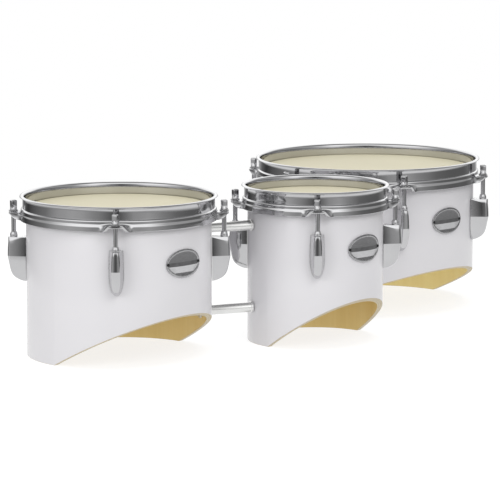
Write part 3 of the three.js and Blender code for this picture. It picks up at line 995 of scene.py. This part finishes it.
# %% Make the badges
badge_wide, badge_tall, badge_thick = 49.6 * mm, 31 * mm, 1.6 * mm
badge_gap, badge_rim, badge_sunk = 0.3 * mm, 2.8 * mm, 0.6 * mm
# Heights of the painted reflections on the field: the dark band, and the bright strip below it.
band_top, band_foot, bright_foot = 1.6 * mm, -2.8 * mm, -9.8 * mm
column_count, column_gap = 23, 2.1 * mm


def badge_part(face):
    """The finish of a face, by its height on the sunk field, where the painted reflections lie in bands."""
    if face.normal.y >= -0.95 or face.center.y <= -badge_thick + 0.4 * mm:
        return badge_steel
    up = face.center.z
    if up > band_top or up < bright_foot:
        return badge_grey
    return badge_dark_reflection if up > band_foot else badge_bright


def make_badge(drum):
    name, radius = drum.name, drum.radius
    let_go()
    bpy.ops.mesh.primitive_circle_add(vertices=72, radius=0.5, fill_type="NGON",
                                      rotation=(math.radians(90), 0, 0))
    bpy.context.object.scale = (badge_wide, badge_tall, 1)
    badge = start(f"{name}_badge_finished")
    extruded(0, -badge_thick, 0)
    bpy.ops.mesh.inset(thickness=badge_rim)
    extruded(0, badge_sunk, 0)
    opened(softened(done(badge), 0.45 * mm, 3, 40))
    for k in range(column_count):
        pick_all()
        bpy.ops.mesh.bisect(plane_co=((k - column_count // 2) * column_gap, 0, 0), plane_no=(1, 0, 0))
    for height in (bright_foot, band_foot, band_top):
        pick_all()
        bpy.ops.mesh.bisect(plane_co=(0, 0, height), plane_no=(0, 0, 1))
    done(badge)
    parts = [badge_part(face) for face in badge.data.polygons]
    modified(badge, "SIMPLE_DEFORM", deform_method="BEND", deform_axis="Z",
             angle=badge_wide / (radius + badge_gap))
    smoothed(badge, 35)
    badge.location = (drum.x, drum.y - radius - badge_gap, badge_middle)
    fitted(settled(badge), badge_finishes, stands_for=[f"{name}_badge"])
    for face, part in zip(badge.data.polygons, parts):
        face.material_index = badge_finishes.index(part)
    return badge


for drum in drums:
    badge = make_badge(drum)
    print(badge.name, size_of(badge), "mm")

# %% Make the rivets
rivet_inset, rivet_out = 2.2 * mm, 1.5 * mm
rivet_outline = [(1.8 * mm, 0), (1.75 * mm, 0.4 * mm), (1.4 * mm, 0.8 * mm), (0.7 * mm, 1.0 * mm)]
for drum in drums:
    for side, end in ((-1, "left"), (1, "right")):
        rivet = smoothed(grown(f"{drum.name}_badge_rivet_{end}", rivet_outline, 20), 50)
        turn = side * (badge_wide / 2 - rivet_inset) / drum.radius
        rivet.rotation_euler = (math.radians(90), 0, turn)
        out = drum.radius + rivet_out
        rivet.location = (drum.x + out * math.sin(turn), drum.y - out * math.cos(turn), badge_middle)
        fitted(settled(rivet), black)
print("6 rivets")

# %% [markdown]
# ## Link tubes
# Two short tubes hold neighbouring drums together. Each has a flange at both ends. The tube is grown
# upright as a ring-shaped piece, laid on its side, and copied to its places.

# %% Make the link tubes
link_length, link_gap = 56.4 * mm, 0.3 * mm
link_bore, link_radius, link_flange = 4.15 * mm, 5.65 * mm, 6.4 * mm
link_outline = [(link_bore, 0), (link_flange, 0), (link_flange, 2.8 * mm), (link_radius, 3.0 * mm),
                (link_radius, link_length - 3.0 * mm), (link_flange, link_length - 2.8 * mm),
                (link_flange, link_length), (link_bore, link_length), (link_bore, 0)]
link_model = softened(grown("link_model", link_outline, 40, solid=False), 0.4 * mm, 3, 50)
smoothed(link_model, 40)
link_model.rotation_euler = (0, math.radians(90), 0)
settled(link_model)


def direction(first, second):
    return math.atan2(second.y - first.y, second.x - first.x)


for first, second in ((left, middle), (middle, right)):
    turn = direction(first, second)
    for level, height in link_heights.items():
        title = f"{first.name}_{second.name}_{level}_link_tube"
        place = around(first, first.radius + link_gap, turn, height)
        tube = copied(link_model, f"{title}_finished", place, turn)
        fitted(tube, satin, stands_for=[title])
        print(tube.name)
bpy.data.objects.remove(link_model)

# %% [markdown]
# ## Screws inside the shells
# Lugs, link tubes and brackets are held from inside the shell by hexagon screws with wide washers,
# so that the wood isn't crushed. One screw with its washer is made from a six-sided cylinder and a
# disc, and copied to every place. Its own X axis points out of the drum.

# %% Make the screws
washer_thick = 1.2 * mm


def make_screw(name, across, tall, washer):
    plate = grown(f"{name}_washer", [(washer / 2, 0), (washer / 2, washer_thick)], 32)
    softened(plate, 0.25 * mm, 2)
    let_go()
    bpy.ops.mesh.primitive_cylinder_add(vertices=6, radius=across / math.sqrt(3), depth=tall,
                                        location=(0, 0, washer_thick + tall / 2))
    head = start(name)
    pick(head, "FACE", lambda spot: spot.z > washer_thick + tall - 0.1 * mm)
    bpy.ops.mesh.inset(thickness=0.7 * mm)
    extruded(0, 0, 0.35 * mm)
    bpy.ops.transform.resize(value=(0.85, 0.85, 1))
    done(head)
    softened(head, 0.3 * mm, 2)
    plate.select_set(True)
    bpy.ops.object.join()
    smoothed(head, 30)
    head.rotation_euler = (0, math.radians(-90), 0)
    return settled(head)


small_screw = make_screw("small_screw", 7 * mm, 3.2 * mm, 12 * mm)
large_screw = make_screw("large_screw", 10 * mm, 4.2 * mm, 17 * mm)
screw_gap = 0.15 * mm
lug_screws = {"upper": 118 * mm, "lower": 92 * mm}
bracket_screws = {"lower": 44.5 * mm, "upper": 104.5 * mm}
count = 0
for drum in drums:
    rows = [(small_screw, f"lug_{i}_screw", turn, lug_screws) for i, turn in enumerate(drum.turns, 1)]
    rows += [(large_screw, f"screw_to_{other.name}", direction(drum, other), link_heights)
             for other in drums if other is not drum and middle in (drum, other)]
    if drum is not middle:
        rows.append((large_screw, "bracket_screw", math.radians(90), bracket_screws))
    for model, title, turn, heights in rows:
        for end, height in heights.items():
            place = around(drum, drum.radius - shell_wall - screw_gap, turn, height)
            screw = copied(model, f"{drum.name}_{title}_{end}", place, turn)
            fitted(screw, steel)
            count += 1
print(count, "screws inside the shells")

# %% [markdown]
# ## Carrier brackets
# On the player's side of the outer drums a plate with an upright socket takes the harness's rod. The
# plate is a cube with bevelled edges, and the socket a grown tube that is sunk into it. They
# are welded on the real object, so they are joined. The bolt heads outside are copies of the screw.

# %% Make the brackets
plate_gap, plate_thick, plate_wide, plate_high = 0.3 * mm, 4 * mm, 26 * mm, 80 * mm
plate_middle, plate_corner = 74.5 * mm, 5 * mm
socket_bore, socket_radius, socket_axis = 7.25 * mm, 12 * mm, 14.3 * mm
socket_foot, socket_top = 53.5 * mm, 95.5 * mm
bolt_out = 4.45 * mm


def at_plate_corner(spot):
    at_end = abs(abs(spot.z - plate_middle) - plate_high / 2) < 0.1 * mm
    return at_end and abs(spot.y) > plate_wide / 2 - 0.1 * mm


def make_bracket(drum):
    name, x, back = drum.name, drum.x, drum.y + drum.radius
    let_go()
    bpy.ops.mesh.primitive_cube_add(size=1, location=(plate_gap + plate_thick / 2, 0, plate_middle))
    bpy.context.object.scale = (plate_thick, plate_wide, plate_high)
    plate = start(f"{name}_carrier_bracket_model")
    pick(plate, "EDGE", at_plate_corner)
    bpy.ops.mesh.bevel(offset=plate_corner, segments=5)
    smoothed(softened(done(plate), 0.6 * mm, 2))
    outline = [(socket_bore, socket_foot), (socket_radius, socket_foot), (socket_radius, socket_top),
               (socket_bore, socket_top), (socket_bore, socket_foot)]
    socket = softened(grown("socket", outline, 40, socket_axis, 0, solid=False), 0.7 * mm, 3)
    smoothed(socket)
    take(plate)
    socket.select_set(True)
    bpy.ops.object.join()
    bracket = copied(plate, f"{name}_carrier_bracket_ready", (x, back, 0), math.radians(90))
    bpy.data.objects.remove(plate)
    fitted(bracket, black, stands_for=[f"{name}_carrier_bracket"])
    for end, height in bracket_screws.items():
        place = (x, back + bolt_out, height)
        bolt = copied(large_screw, f"{name}_bracket_bolt_{end}", place, math.radians(-90))
        fitted(bolt, steel)
    return bracket


for drum in (left, right):
    print(make_bracket(drum).name)
bpy.data.objects.remove(small_screw)
bpy.data.objects.remove(large_screw)
